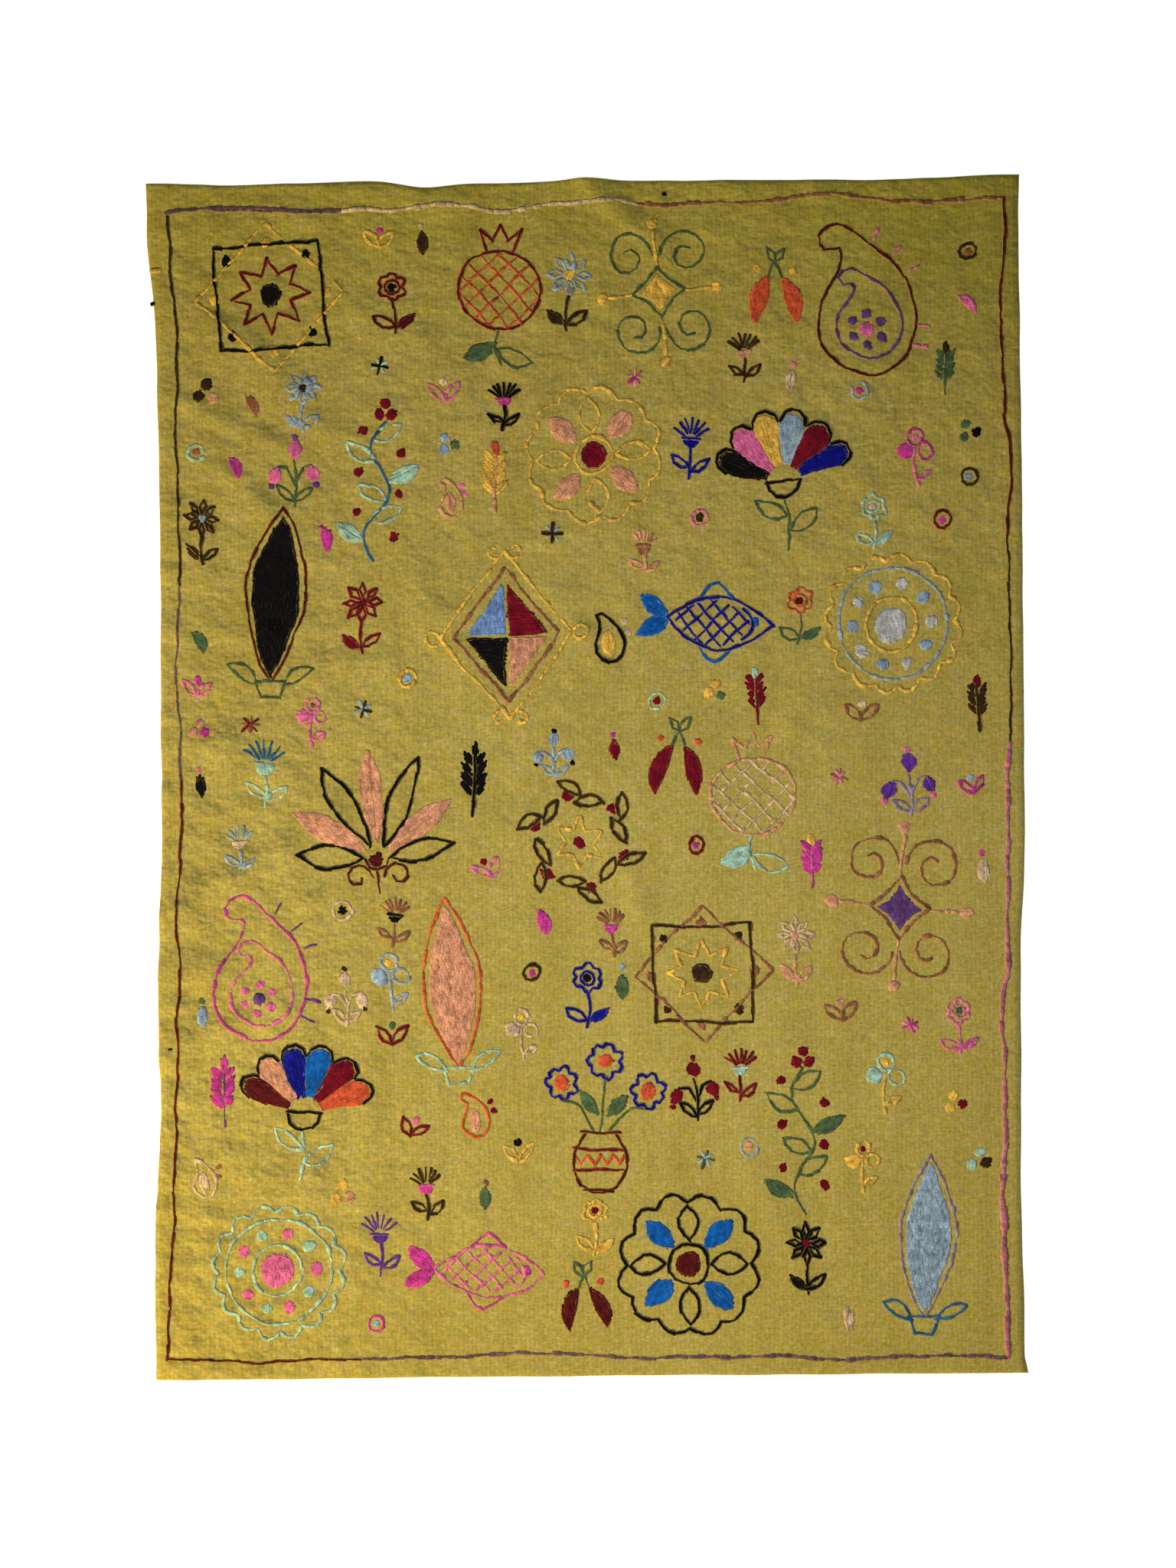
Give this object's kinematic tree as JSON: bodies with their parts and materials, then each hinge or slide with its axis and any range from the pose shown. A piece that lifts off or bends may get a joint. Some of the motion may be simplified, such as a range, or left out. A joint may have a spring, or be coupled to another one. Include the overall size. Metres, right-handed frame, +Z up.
{
  "type": "suzani",
  "caption": "Rectangular embroidered wool cloth of the suzani kind, lying face up with soft ridges, stitched motifs and one border line inside a raw edge.",
  "frame": {"origin": "on the surface that the cloth lies on, under the middle of the cloth's bounding box", "axes": "+Y towards the cloth's top edge, +X towards its right edge seen from the face, +Z up, out of the face"},
  "size_m": [1.141, 1.565, 0.0092],
  "materials": {
    "wool_cloth": "matte handwoven wool, mustard to olive, with coloured wool stitches"
  },
  "bodies": {
    "root": {"cloth": "wool_cloth"}
  },
  "joints": []
}
